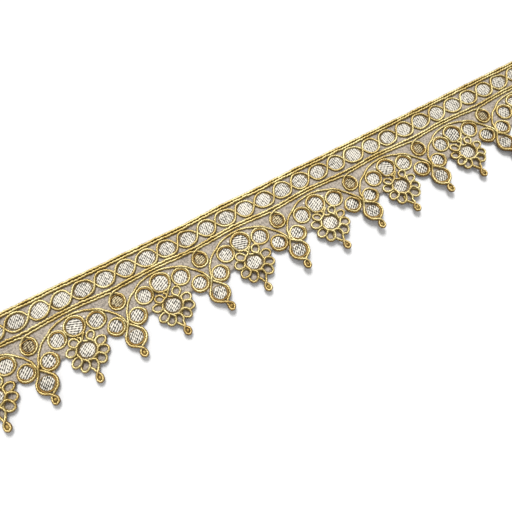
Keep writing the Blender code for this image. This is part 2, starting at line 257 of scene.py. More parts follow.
class Bed:
    """The height of what already lies on the ribbon, on a plan grid, so that the next cord goes over it."""

    CELL = 0.2
    MARGIN = 4.0

    def __init__(self):
        columns = int((2 * HALF_LENGTH + 2 * self.MARGIN) / self.CELL)
        rows = int((-TOP_EDGE + TIP + 3 * self.MARGIN) / self.CELL)
        self.top = np.full((columns, rows), CORD_SEAT)
        reach = np.arange(-4, 5)
        grid = np.array([(i, j) for i in reach for j in reach])
        self.offsets = grid
        self.distances = np.linalg.norm(grid * self.CELL, axis=1)

    def cells(self, line):
        column = np.rint((line[:, 0] + HALF_LENGTH + self.MARGIN) / self.CELL).astype(int)
        row = np.rint((line[:, 1] - TOP_EDGE + self.MARGIN) / self.CELL).astype(int)
        column = column[:, None] + self.offsets[None, :, 0]
        row = row[:, None] + self.offsets[None, :, 1]
        return np.clip(column, 0, self.top.shape[0] - 1), np.clip(row, 0, self.top.shape[1] - 1)

    def lay(self, line, radius, closed=False, step=0.27):
        """Heights of a cord's middle: over everything within its radius, then smoothed to soft humps.

        The cord is laid a stretch at a time, and each stretch is added to the bed once the cord has
        moved on, so that it also passes over itself.
        """
        near = self.distances < radius
        rise = np.sqrt(np.maximum(radius ** 2 - self.distances ** 2, 0.0))
        columns, rows = self.cells(line)
        heights = np.zeros(len(line))
        stretch = 6
        lag = int(math.ceil(2.6 * radius / step / stretch)) + 1
        starts = list(range(0, len(line), stretch))
        for number in range(len(starts) + lag):
            if number < len(starts):
                part = slice(starts[number], starts[number] + stretch)
                under = self.top[columns[part], rows[part]] + rise - (0.0 if radius < 0.3 else 0.12)
                heights[part] = np.where(near, under, -9.0).max(axis=1)
            if number >= lag:
                part = slice(starts[number - lag], starts[number - lag] + stretch)
                over = heights[part][:, None] + np.where(near, rise, -9.0) * 0.8
                np.maximum.at(self.top, (columns[part], rows[part]), over)
        window = max(int(round(0.7 / step)), 1)
        wide = np.pad(heights, window, mode="wrap" if closed else "edge")
        raised = np.max([wide[i:i + len(heights)] for i in range(2 * window + 1)], axis=0)
        spread = 3 * window
        weights = np.exp(-0.5 * (np.arange(-spread, spread + 1) / window) ** 2)
        wide = np.pad(raised, spread, mode="wrap" if closed else "edge")
        return np.convolve(wide, weights / weights.sum(), mode="valid")


class Surface:
    """Collects grids of points and makes one mesh object of them."""

    def __init__(self):
        self.points = []
        self.quads = []
        self.triangles = []
        self.values = {}
        self.count = 0

    def add(self, points, quads, triangles=(), **values):
        self.points.append(points)
        self.quads.append(np.asarray(quads, int).reshape(-1, 4) + self.count)
        self.triangles.append(np.asarray(triangles, int).reshape(-1, 3) + self.count)
        for name, value in values.items():
            self.values.setdefault(name, []).append(np.asarray(value, float))
        self.count += len(points)

    def make(self, name, material, smooth=True):
        points = to_world(np.vstack(self.points))
        quads = np.vstack(self.quads)
        triangles = np.vstack(self.triangles)
        corners = np.concatenate((quads.ravel(), triangles.ravel()))
        sizes = np.concatenate((np.full(len(quads), 4), np.full(len(triangles), 3)))
        mesh = bpy.data.meshes.new(name)
        mesh.vertices.add(len(points))
        mesh.vertices.foreach_set("co", points.ravel())
        mesh.loops.add(len(corners))
        mesh.loops.foreach_set("vertex_index", corners)
        mesh.polygons.add(len(sizes))
        mesh.polygons.foreach_set("loop_start", np.concatenate(([0], np.cumsum(sizes)[:-1])))
        mesh.polygons.foreach_set("use_smooth", np.full(len(sizes), smooth))
        for value_name, value in self.values.items():
            attribute = mesh.attributes.new(value_name, "FLOAT", "POINT")
            attribute.data.foreach_set("value", np.concatenate(value))
        mesh.update(calc_edges=True)
        mesh.materials.append(material)
        piece = bpy.data.objects.new(name, mesh)
        bpy.context.scene.collection.objects.link(piece)
        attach(piece, "root")
        return piece


def tube_faces(rings, sides, closed):
    """Quads between neighbouring rings, and a fan over each open end."""
    ring = np.arange(rings if closed else rings - 1)
    side = np.arange(sides)
    a = (ring[:, None] * sides + side).ravel()
    b = (ring[:, None] * sides + (side + 1) % sides).ravel()
    next_ring = (ring + 1) % rings
    c = (next_ring[:, None] * sides + (side + 1) % sides).ravel()
    d = (next_ring[:, None] * sides + side).ravel()
    quads = np.column_stack((a, d, c, b))
    if closed:
        return quads, np.empty((0, 3), int)
    first = rings * sides
    last = first + 1
    start = np.column_stack((np.full(sides, first), side, (side + 1) % sides))
    base = (rings - 1) * sides
    end = np.column_stack((np.full(sides, last), base + (side + 1) % sides, base + side))
    return quads, np.vstack((start, end))


def add_twisted_cord(surface, line, thickness, lay, sides=10, closed=False, depth=0.14, phase=0.0, squash=1.0):
    """Two strands twisted round each other, carried along the line (x, across, z).

    The section's radius is the cord's, less the depth where the two strands leave a groove: it goes as
    the cosine of twice the angle from the strands, and the strands turn once in each lay.
    """
    back = line[:, 1] * -1
    flat = np.column_stack((line[:, 0], back, line[:, 2]))
    if closed:
        tangent = np.roll(flat, -1, axis=0) - np.roll(flat, 1, axis=0)
    else:
        tangent = np.gradient(flat, axis=0)
    tangent /= np.linalg.norm(tangent, axis=1)[:, None]
    side = np.cross(tangent, (0.0, 0.0, 1.0))
    side /= np.linalg.norm(side, axis=1)[:, None]
    up = np.cross(side, tangent)
    steps = np.linalg.norm(np.diff(flat, axis=0), axis=1)
    along = np.concatenate(([0.0], np.cumsum(steps)))
    if closed:
        total = along[-1] + np.linalg.norm(flat[0] - flat[-1])
        lay = total / max(round(2 * total / lay), 1) * 2
    angle = math.tau * np.arange(sides) / sides - math.pi / 2
    turn = math.tau * along / lay + phase
    ridge = 0.5 + 0.5 * np.cos(2 * (angle[None, :] - turn[:, None]))
    radius = thickness / 2 * (1 - depth * 2 * (1 - ridge))
    offset = (radius * np.cos(angle))[:, :, None] * side[:, None, :]
    offset = offset + squash * (radius * np.sin(angle))[:, :, None] * up[:, None, :]
    points = (flat[:, None, :] + offset).reshape(-1, 3)
    quads, triangles = tube_faces(len(line), sides, closed)
    strand = ridge.ravel()
    run = np.repeat(along, sides)
    # crown: the sine of the angle round the section, for the painted highlight on top and painted shade below.
    crown = np.tile(np.sin(angle), len(line))
    stain = np.repeat(0.45 * np.clip((line[:, 1] - STAIN_FROM) / 1.5, 0.0, 1.0), sides)
    if not closed:
        points = np.vstack((points, flat[0], flat[-1]))
        strand = np.concatenate((strand, (0.2, 0.2)))
        run = np.concatenate((run, (along[0], along[-1])))
        crown = np.concatenate((crown, (0.0, 0.0)))
        stain = np.concatenate((stain, stain[[0, -1]]))
    points[:, 1] *= -1
    surface.add(points, quads, triangles, strand=strand, run=run, crown=crown, stain=stain)


def wobble(line, closed, seed):
    """The plan line with a small hand-made sideways stray along its length."""
    tangent = np.roll(line, -1, axis=0) - np.roll(line, 1, axis=0) if closed else np.gradient(line, axis=0)
    tangent /= np.maximum(np.linalg.norm(tangent, axis=1), 1e-9)[:, None]
    run = np.concatenate(([0.0], np.cumsum(np.linalg.norm(np.diff(line, axis=0), axis=1))))
    if closed:
        turn = math.tau * run / (run[-1] + np.linalg.norm(line[0] - line[-1]))
        draws = np.random.default_rng(seed)
        sway = sum(draws.normal(0, 0.03) * np.sin(wave * turn + draws.uniform(0, math.tau)) for wave in (3, 5, 6))
    else:
        sway = stray(run, 0.07, 4.2, seed)
    return line + np.column_stack((-tangent[:, 1], tangent[:, 0])) * sway[:, None]


def lay_cord(surface, bed, line, sizes, closed=False, thin=1.0, phase=0.0, seed=1, lay=1.0):
    """Lays a plan line on the bed and adds its twisted cord."""
    step = sizes.step / MM
    thickness = sizes.cord / MM * thin
    line = wobble(even_steps(line, step, closed), closed, seed)
    heights = bed.lay(line, thickness / 2, closed, step)
    heights = heights + lift(line[:, 0], line[:, 1])
    line = np.column_stack((line, heights))
    add_twisted_cord(surface, line, thickness, lay * sizes.lay / MM, closed=closed, phase=phase)
    add_back_thread(line, closed)
    if thin > 0.9:
        add_padding(line, thickness, closed)
    return line


def add_back_thread(line, closed=False):
    """The stitches that hold a cord show on the ribbon's back as a fuller thread, on which the trim lies."""
    every = 4
    low = line[::every].copy()
    low[:, 2] = BACK_RADIUS + 0.02 + lift(low[:, 0], low[:, 1])
    add_twisted_cord(back, low, 2 * BACK_RADIUS, 2.2, sides=6, closed=closed, depth=0.06)


def add_padding(line, thickness, closed=False):
    """The flat brown threads a cord is couched on, which show along both its sides."""
    low = line[::3].copy()
    low[:, 2] -= 0.4 * thickness
    add_twisted_cord(padding, low, PADDING_WIDE * thickness, 3.1, sides=8, closed=closed, depth=0.05, squash=0.42)


def add_underlay(surface, line, middle, thickness=1.0, drop=0.5, out=0.3, closed=False):
    """The threads that wall a lobe's outer side: a cord along the same line, lower and further out."""
    low = line[::2].copy()
    away = low[:, :2] - middle
    low[:, :2] += out * away / np.linalg.norm(away, axis=1)[:, None]
    low[:, 2] -= drop
    add_twisted_cord(surface, low, thickness, 1.9, sides=8, closed=closed, depth=0.10)


def stretches(line, keep, gap=1.5):
    """The runs of the kept points that follow each other without a gap."""
    kept = line[keep]
    breaks = np.nonzero(np.linalg.norm(np.diff(kept[:, :2], axis=0), axis=1) > gap)[0] + 1
    return [run for run in np.split(kept, breaks) if len(run) > 8]


def add_drop(surface, x, across):
    """A drop's filling: a ball of wound thread, with ridges that run round it as a sine of the height."""
    rows, sides = 14, 20
    tilt = np.linspace(math.pi - 0.03, 0.03, rows)
    angle = math.tau * np.arange(sides) / sides
    ridge = 1 + 0.05 * np.sin(7 * tilt)[:, None] * np.ones(sides)
    reach = 1.2 * np.sin(tilt)[:, None] * ridge
    height = np.repeat(CORD_SEAT + 0.25 + lift(x, across) + 0.62 * np.cos(tilt)[:, None], sides, axis=1)
    grid = np.stack((x + reach * np.cos(angle), across + reach * 1.3 * np.sin(angle), height), axis=2)
    quads, triangles = tube_faces(rows, sides, False)
    low = (x, across, height[0, 0])
    top = (x, across, height[-1, 0])
    # The crown value runs from the drop's bottom to its top, for a painted highlight on top and painted shade below.
    # The ridge value paints shade between the wound turns.
    crown = 0.45 * np.append(np.repeat(np.cos(tilt), sides), (-1.0, 1.0))
    strand = np.append(np.repeat(0.5 + 0.5 * np.sin(7 * tilt), sides), (0.5, 0.5))
    surface.add(np.vstack((grid.reshape(-1, 3), low, top)), quads, triangles,
                strand=strand, crown=crown, run=np.append(np.tile(angle * 1.3, rows), (0.0, 0.0)),
                stain=np.full(len(crown), 0.35))


def weave_patch(cells, long_cells):
    """A mesh cut to a unit round: (plan points, top quads, rim edges, wave at each point).

    The points stand half a cell apart, in rows that lean with the strips. The wave is the product of the two sines of one cell's length,
    so it is a pit or a bump at every other crossing and zero along the strips' edges.
    """
    wide, high = int(2 * cells * (1 + WEAVE_LEAN)) + 2, 2 * long_cells + 2
    u, v = np.meshgrid(np.arange(-wide, wide + 1), np.arange(-high, high + 1), indexing="ij")
    rows, columns = u.shape
    u, v = u.ravel(), v.ravel()
    plan = np.column_stack((u / (2 * cells) - WEAVE_LEAN * v / (2 * long_cells), v / (2 * long_cells)))
    reach = np.linalg.norm(plan, axis=1)
    inside = reach < 0.97
    corner = (np.arange(rows - 1)[:, None] * columns + np.arange(columns - 1)).ravel()
    quads = np.column_stack((corner, corner + columns, corner + columns + 1, corner + 1))
    quads = quads[inside[quads].any(axis=1)]
    plan[~inside] /= reach[~inside][:, None]
    used = np.unique(quads)
    renumber = np.full(rows * columns, -1)
    renumber[used] = np.arange(len(used))
    quads = renumber[quads]
    edges = np.vstack([quads[:, [k, (k + 1) % 4]] for k in range(4)])
    _, first, uses = np.unique(np.sort(edges, axis=1), axis=0, return_index=True, return_counts=True)
    wave = np.where(inside, np.sin(math.pi * u / 2) * np.sin(math.pi * v / 2), 0.0)
    return plan[used], quads, edges[first[uses == 1]], wave[used]


PATCHES = {}
WEAVE_NARROW = 0.9
WEAVE_LONG = 1.15
WEAVE_LEAN = 0.4


def add_woven_round(surface, x, across, reach, weave, turn, seed, tone, half=None, relief=0.06, even=0.55):
    """A round cut from woven gota: a low dome with the weave's pits and bumps, and a flat underside."""
    half = half or reach
    cells = int(round(reach / (weave * WEAVE_NARROW))), int(round(reach / (weave * WEAVE_LONG)))
    if cells not in PATCHES:
        PATCHES[cells] = weave_patch(*cells)
    plan, quads, rim, wave = PATCHES[cells]
    cos, sin = math.cos(turn), math.sin(turn)
    local = np.column_stack((plan[:, 0] * cos - plan[:, 1] * sin, plan[:, 0] * sin + plan[:, 1] * cos))
    draws = np.random.default_rng(seed)
    uneven = draws.normal(0.0, 0.03, (len(plan), 2)) * (np.linalg.norm(plan, axis=1) < 0.9)[:, None]
    place = np.column_stack((x + local[:, 0] * reach, across + local[:, 1] * half)) + uneven
    wave = wave * draws.uniform(even, 1.9 - even, len(plan))
    radius = np.linalg.norm(plan, axis=1)
    crease = stray(place[:, 0] + 2 * place[:, 1], 0.05, 4.0, seed)
    height = ROUND_TOP - 0.12 + 0.14 * (1 - radius ** 2) + relief * wave + crease * (1 - radius ** 4)
    raised = lift(place[:, 0], place[:, 1])
    upper = np.column_stack((place, height + raised))
    rim_points = rim[:, 0]
    under = np.column_stack((place[rim_points], np.full(len(rim), RIBBON_TOP - 0.03) + raised[rim_points]))
    middle = under.mean(axis=0)
    count = len(place)
    below = np.full(count, -1)
    below[rim_points] = count + np.arange(len(rim))
    sides = np.column_stack((rim[:, 0], below[rim[:, 0]], below[rim[:, 1]], rim[:, 1]))
    base = np.column_stack((below[rim[:, 1]], below[rim[:, 0]], np.full(len(rim), count + len(rim))))
    extra = len(rim) + 1
    # rim: the distance from the middle, which the woven material uses for the painted shade at the edge.
    surface.add(np.vstack((upper, under, middle)), np.vstack((quads[:, ::-1], sides[:, ::-1])), base[:, ::-1],
                wave=np.concatenate((wave, np.zeros(extra))),
                rim=np.concatenate((radius, np.ones(extra))),
                tone=np.full(count + extra, tone + draws.uniform(-0.06, 0.06)))


def shader(name, roughness, metallic):
    """A new material with its Principled shader and node tree."""
    material = bpy.data.materials.new(name)
    material.use_nodes = True
    tree = material.node_tree
    surface = tree.nodes["Principled BSDF"]
    surface.inputs["Roughness"].default_value = roughness
    surface.inputs["Metallic"].default_value = metallic
    return material, tree, surface


def add_node(tree, kind, settings=None, **inputs):
    node = tree.nodes.new(kind)
    for key, value in (settings or {}).items():
        setattr(node, key, value)
    for key, value in inputs.items():
        socket = node.inputs[key.replace("_", " ")]
        if isinstance(value, bpy.types.NodeSocket):
            tree.links.new(value, socket)
        else:
            socket.default_value = value
    return node


def value_of(tree, name):
    return add_node(tree, "ShaderNodeAttribute", {"attribute_name": name}).outputs["Fac"]


def ramp(tree, factor, stops):
    """A colour ramp through the stops (position, colour)."""
    node = add_node(tree, "ShaderNodeValToRGB", None, Fac=factor)
    while len(node.color_ramp.elements) < len(stops):
        node.color_ramp.elements.new(0.5)
    for element, (position, colour) in zip(node.color_ramp.elements, stops):
        element.position = position
        element.color = (*colour, 1.0)
    return node.outputs["Color"]


def math_node(tree, operation, first, second=None, third=None):
    node = tree.nodes.new("ShaderNodeMath")
    node.operation = operation
    for socket, value in zip(node.inputs, (first, second, third)):
        if value is None:
            continue
        if isinstance(value, bpy.types.NodeSocket):
            tree.links.new(value, socket)
        else:
            socket.default_value = value
    return node.outputs[0]


AMBER_STAIN = (0.72, 0.50, 0.26)


def speckle(tree, scale, detail=2.0):
    place = add_node(tree, "ShaderNodeTexCoord").outputs["Object"]
    return add_node(tree, "ShaderNodeTexNoise", None, Vector=place, Scale=scale, Detail=detail).outputs["Fac"]


def mix_colour(tree, factor, first, second, blend="MIX"):
    node = tree.nodes.new("ShaderNodeMix")
    node.data_type = "RGBA"
    node.blend_type = blend
    for socket, value in ((node.inputs[0], factor), (node.inputs[6], first), (node.inputs[7], second)):
        if isinstance(value, bpy.types.NodeSocket):
            tree.links.new(value, socket)
        else:
            socket.default_value = value
    return node.outputs[2]


def bump(tree, height, strength, distance):
    node = add_node(tree, "ShaderNodeBump", None, Strength=strength, Distance=distance, Height=height)
    return node.outputs["Normal"]


def thread_material(name, light, body, deep, metallic=0.55, roughness=0.36):
    """Metallic thread: a painted highlight on its crown, painted shade in its grooves, along its sides and underneath,
    with random worn patches.
    """
    material, tree, surface = shader(name, roughness, metallic)
    wear = speckle(tree, 900.0)
    patchy = math_node(tree, "MULTIPLY_ADD", wear, 0.45, math_node(
        tree, "MULTIPLY_ADD", speckle(tree, 330.0, 1.0), 0.8, -0.62))
    # The crown value is the sine of the angle round the section, so the ramp paints a highlight on top and shade on
    # the sides and underside.
    height = math_node(tree, "MULTIPLY_ADD", value_of(tree, "crown"), 1.05, patchy)
    # The strand value is low in the grooves between the strands, and the ramp paints these in shade.
    twist = math_node(tree, "MULTIPLY_ADD", value_of(tree, "strand"), 0.17, -0.25)
    factor = math_node(tree, "ADD", height, twist)
    colour = ramp(tree, factor, ((0.12, deep), (0.50, body), (0.92, light)))
    stain = math_node(tree, "MULTIPLY", value_of(tree, "stain"), speckle(tree, 500.0, 1.0))
    colour = mix_colour(tree, math_node(tree, "MULTIPLY", stain, 1.5), colour, (*AMBER_STAIN, 1.0), "MULTIPLY")
    broad = speckle(tree, 110.0, 1.0)
    tint = ramp(tree, broad, ((0.38, (0.78, 0.69, 0.52)), (0.60, (1.0, 1.0, 1.0))))
    tree.links.new(mix_colour(tree, 1.0, colour, tint, "MULTIPLY"), surface.inputs["Base Color"])
    rough = math_node(tree, "MULTIPLY_ADD", wear, 0.22, roughness - 0.11)
    tree.links.new(rough, surface.inputs["Roughness"])
    fibre = math_node(tree, "SINE", math_node(tree, "MULTIPLY", value_of(tree, "run"), 22.0))
    grain = math_node(tree, "MULTIPLY_ADD", fibre, 0.35, speckle(tree, 3500.0))
    tree.links.new(bump(tree, grain, 0.35, 0.00008), surface.inputs["Normal"])
    return material


def woven_material(name, light, dark, edge, metallic):
    """Woven metal strips: pale crossings, dark pits between them, and painted shade along the edge under the cord."""
    material, tree, surface = shader(name, 0.3, metallic)
    worn = speckle(tree, 700.0, 1.0)
    pit = math_node(tree, "MULTIPLY", value_of(tree, "wave"), -1.0)
    tone = value_of(tree, "tone")
    uneven = math_node(tree, "MULTIPLY_ADD", worn, 0.9, -0.55)
    depth = math_node(tree, "MULTIPLY_ADD", pit, 1.15, uneven)
    mark = math_node(tree, "ADD", depth, math_node(tree, "MULTIPLY_ADD", tone, 0.9, -0.30))
    middle = tuple(0.5 * a + 0.5 * b for a, b in zip(light, dark))
    colour = ramp(tree, mark, ((0.33, light), (0.43, middle), (0.53, dark)))
    # Painted shade: the round's edge, which lies under its cord, is mixed towards the dark edge colour.
    rim = math_node(tree, "MULTIPLY_ADD", worn, 0.16, value_of(tree, "rim"))
    stain = ramp(tree, rim, ((0.90, (0.0, 0.0, 0.0)), (1.0, (1.0, 1.0, 1.0))))
    tree.links.new(mix_colour(tree, stain, colour, (*edge, 1.0)), surface.inputs["Base Color"])
    grain = speckle(tree, 2600.0)
    tree.links.new(bump(tree, grain, 0.4, 0.00006), surface.inputs["Normal"])
    tree.links.new(math_node(tree, "MULTIPLY_ADD", worn, 0.25, 0.45), surface.inputs["Roughness"])
    return material


def ribbon_material(colour):
    """Sheer ribbon: fine warp and weft with small gaps of shade, and a soft uneven sheen."""
    material, tree, surface = shader("sheer_ribbon", 0.6, 0.0)
    place = add_node(tree, "ShaderNodeTexCoord").outputs["Object"]
    axes = add_node(tree, "ShaderNodeSeparateXYZ", None, Vector=place)
    warp = math_node(tree, "SINE", math_node(tree, "MULTIPLY", axes.outputs["X"], math.tau / 0.00042))
    weft = math_node(tree, "SINE", math_node(tree, "MULTIPLY", axes.outputs["Y"], math.tau / 0.00042))
    weave = math_node(tree, "MULTIPLY_ADD", math_node(tree, "ADD", warp, weft), 0.25, 0.5)
    uneven = speckle(tree, 170.0, 3.0)
    mesh = math_node(tree, "MULTIPLY_ADD", speckle(tree, 1300.0, 1.0), 2.0, -1.0)
    fine = math_node(tree, "MULTIPLY_ADD", weave, 0.4, mesh)
    factor = math_node(tree, "ADD", math_node(tree, "MULTIPLY_ADD", uneven, 0.5, 0.05), fine)
    deep = tuple(0.5 * c for c in colour)
    light = tuple(min(1.4 * c, 1.0) for c in colour)
    tree.links.new(ramp(tree, factor, ((0.15, deep), (0.5, colour), (0.9, light))), surface.inputs["Base Color"])
    tree.links.new(bump(tree, weave, 0.5, 0.00008), surface.inputs["Normal"])
    surface.inputs["Sheen Weight"].default_value = 0.25
    return material


def lower_outline(x):
    """The ribbon's lower edge: the furthest of the hem and the lower arcs of all lobes at x."""
    lobes = []
    for repeat in PENDANTS:
        along, across, _ = pendant_place(repeat)
        lobes.append((along, across, BIG_ROUND[2] - 0.5))
        for side_along, side_across, radius in SIDE_ROUNDS:
            lobes.append((repeat * REPEAT + side_along, side_across, radius - 0.5))
    for repeat in FLOWERS:
        along, across, _ = flower_place(repeat)
        lobes.append((along, across, FLOWER_BACKING))
        for degrees, distance, radius in PETALS:
            angle = math.radians(degrees)
            lobes.append((along + distance * math.cos(angle), across + distance * math.sin(angle), radius - 0.5))
    edge = NET_HEM + stray(x, 0.12, 9.0, 5)
    for centre, across, radius in lobes:
        inside = np.abs(x - centre) < radius
        arc = across + np.sqrt(np.maximum(radius ** 2 - (x - centre) ** 2, 0.0))
        edge = np.where(inside, np.maximum(edge, arc), edge)
    return edge


def pendant_place(repeat):
    """Plan place of a pendant's big round and the lean of its drop."""
    along, across, lean = PENDANT_STRAY[repeat]
    return repeat * REPEAT + BIG_ROUND[0] + along, BIG_ROUND[1] + across, lean


def flower_place(repeat):
    along, across, lean = FLOWER_STRAY[repeat]
    return repeat * REPEAT + FLOWER[0] + along, FLOWER[1] + across, lean


def arc_points(x, across, radius, degrees):
    angles = np.radians(degrees)
    return np.column_stack((x + radius * np.cos(angles), across + radius * np.sin(angles)))


def big_round_loop(repeat):
    """The crossing cord's way round the big round and its drop, from the knot back to the knot."""
    x, across, lean = pendant_place(repeat)
    radius = BIG_ROUND[2] - 0.55
    drop_x, drop_across = x + lean, across + DROP_NECK
    neck = across + radius + 0.75
    neck_x = x + 0.3 * lean
    knot = repeat * REPEAT
    return np.vstack((
        [(knot - 0.9, -1.6), (knot, 0.9)],
        arc_points(x, across, radius, (-50, -26, -2, 22, 46)),
        [(neck_x + 0.35, neck)],
        drop_points(drop_x, drop_across, (215, 150, 90, 30, -35)),
        [(neck_x - 0.35, neck)],
        arc_points(x, across, radius, (134, 158, 182, 206, 228)),
        [(knot, 0.7), (knot + 0.9, -1.6)],
    ))


def main_cord_line():
    """The one cord that arches over every flower and loops round every pendant."""
    points = []
    for repeat in FLOWERS:
        if repeat in PENDANTS:
            points.append(big_round_loop(repeat))
        arch = np.array(ARCH_CORD) + (repeat * REPEAT, 0.0)
        points.append(arch)
    line = smooth_line(np.vstack(points))
    return line[np.abs(line[:, 0]) <= CORD_END]


def petal_line(repeat):
    """A cord that makes nine round loops about the flower's middle.

    It comes to each petal from a foot between two petals, goes round the petal's circle from one side
    of the circle's foot to the other, and so crosses itself there.
    """
    x, across, lean = flower_place(repeat)
    degrees = np.array([petal[0] for petal in PETALS], float)
    feet = np.concatenate(([degrees[0] - 19], (degrees[1:] + degrees[:-1]) / 2))
    shift = np.array((x - FLOWER[0], across - FLOWER[1]))
    draws = np.random.default_rng(1200 + repeat)
    pieces = [np.array(LINK_IN)[:-1] + shift]
    for number, (toward, distance, radius) in enumerate(PETALS):
        toward = math.radians(toward + draws.normal(0.0, 2.5))
        size = (radius - 0.35) * draws.uniform(0.9, 1.06)
        outward = np.array((math.cos(toward), math.sin(toward)))
        turn = np.radians(PETAL_TURN)[:, None]
        loop = (x, across) + (distance - 0.1) * outward + size * (
            PETAL_LONG * np.cos(turn) * outward + PETAL_WIDE * np.sin(turn) * outward[::-1] * (-1, 1))
        if number > 0:
            pieces.append(arc_points(x, across, PETAL_BASE, (feet[number],)))
        if number == DROP_PETAL:
            half = len(loop) // 2
            loop = np.vstack((loop[:half], drop_detour(x, across, lean), loop[half + 1:]))
        pieces.append(loop)
    pieces.append(np.array(LINK_OUT) + shift)
    return smooth_line(np.vstack(pieces))


def drop_detour(x, across, lean):
    """From the bottom petal's tip round the flower's drop and back."""
    neck, neck_x = across + FLOWER_NECK, x + 0.4 * lean
    around = drop_points(x + lean, across + FLOWER_DROP, (-35, 30, 90, 150, 215))
    return np.vstack(([(neck_x - 0.3, neck)], around, [(neck_x + 0.3, neck)]))


def drop_points(x, across, degrees):
    """Points on a drop's loop, which is longer than it is wide."""
    angles = np.radians(degrees)
    return np.column_stack((x + DROP_WIDE * np.cos(angles), across + DROP_LONG * np.sin(angles)))


def rail_line(across, sway, seed):
    x = np.linspace(-CORD_END, CORD_END, 900)
    return np.column_stack((x, across + sway(x) + stray(x, 0.10, 17.0, seed) + stray(x, 0.07, 5.5, seed + 40)))


def looped_rail_line():
    """The lower rail's lower cord, with a loop round each gold round."""
    points = []
    for repeat in FLOWERS:
        base = repeat * REPEAT
        if repeat in PENDANTS:
            points.append(np.array(RAIL_LOOP) + (base, 0.4))
        straight = np.linspace(base + 9.0, base + REPEAT - 9.0, 6)
        points.append(np.column_stack((straight, LOWER_CORD_LOWER + lower_sway(straight))))
    line = smooth_line(np.vstack(points))
    line = line[np.abs(line[:, 0]) <= CORD_END]
    ends = np.array([(side * CORD_END, LOWER_CORD_LOWER + lower_sway(side * CORD_END)) for side in (-1, 1)])
    return np.vstack((ends[:1], line, ends[1:]))


bed = Bed()
back = Surface()
BACK_RADIUS = 0.44
padding = Surface()
PADDING_WIDE = 1.28


def sizes():
    return bpy.context.scene.trim_sizes


def colours():
    return bpy.context.scene.trim_colours


def gold():
    if "gold_thread" in bpy.data.materials:
        return bpy.data.materials["gold_thread"]
    return thread_material("gold_thread", tuple(colours().gold_painted_highlight), tuple(colours().gold_body),
                           tuple(colours().gold_painted_shade))


def amber():
    if "amber_thread" in bpy.data.materials:
        return bpy.data.materials["amber_thread"]
    # The amber threads get the same painted highlight on top and painted shade below and in the grooves. Light and
    # deep are lighter and darker copies of the tone.
    tone = tuple(colours().amber)
    light = tuple(min(1.6 * c, 1.0) for c in tone)
    deep = tuple(0.25 * c for c in tone)
    return thread_material("amber_thread", light, tone, deep, 0.4, 0.45)


def numbered(stem, count):
    return [f"{stem}_{number}" for number in range(1, count + 1)]


class TRIM_OT_ribbon(bpy.types.Operator):
    """Make the sheer ribbon with its scalloped edge"""

    bl_idname = "trim.ribbon"
    bl_label = "Ribbon"

    def execute(self, context):
        """A grid from the straight edge to the scalloped one, in two layers joined at their rims."""
        x = np.linspace(-HALF_LENGTH, HALF_LENGTH, 900)
        share = np.linspace(0, 1, 30)
        top = TOP_EDGE + edge_sway(x)
        low = lower_outline(x)
        across = top[:, None] + (low - top)[:, None] * share[None, :]
        along = np.repeat(x[:, None], len(share), axis=1)
        ripple = stray(along + 0.6 * across, 0.05, 13.0, 11) + stray(across - 0.3 * along, 0.04, 8.0, 12)
        height = RIBBON_TOP + lift(along, across) + ripple
        upper = np.column_stack((along.ravel(), across.ravel(), height.ravel()))
        lower = upper - (0.0, 0.0, RIBBON_THICK)
        columns, rows = along.shape
        count = columns * rows
        corner = (np.arange(columns - 1)[:, None] * rows + np.arange(rows - 1)).ravel()
        quads = np.column_stack((corner, corner + 1, corner + rows + 1, corner + rows))
        rim = np.concatenate((
            np.arange(rows), np.arange(1, columns) * rows + rows - 1,
            (columns - 1) * rows + np.arange(rows - 2, -1, -1), np.arange(columns - 2, 0, -1) * rows))
        after = np.roll(rim, -1)
        sides = np.column_stack((rim, rim + count, after + count, after))
        surface = Surface()
        surface.add(np.vstack((upper, lower)), np.vstack((quads, quads[:, ::-1] + count, sides)))
        piece = surface.make("ribbon", ribbon_material(tuple(colours().ribbon)))
        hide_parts("net_ground")
        self.report({"INFO"}, "ribbon made")
        return {"FINISHED"}


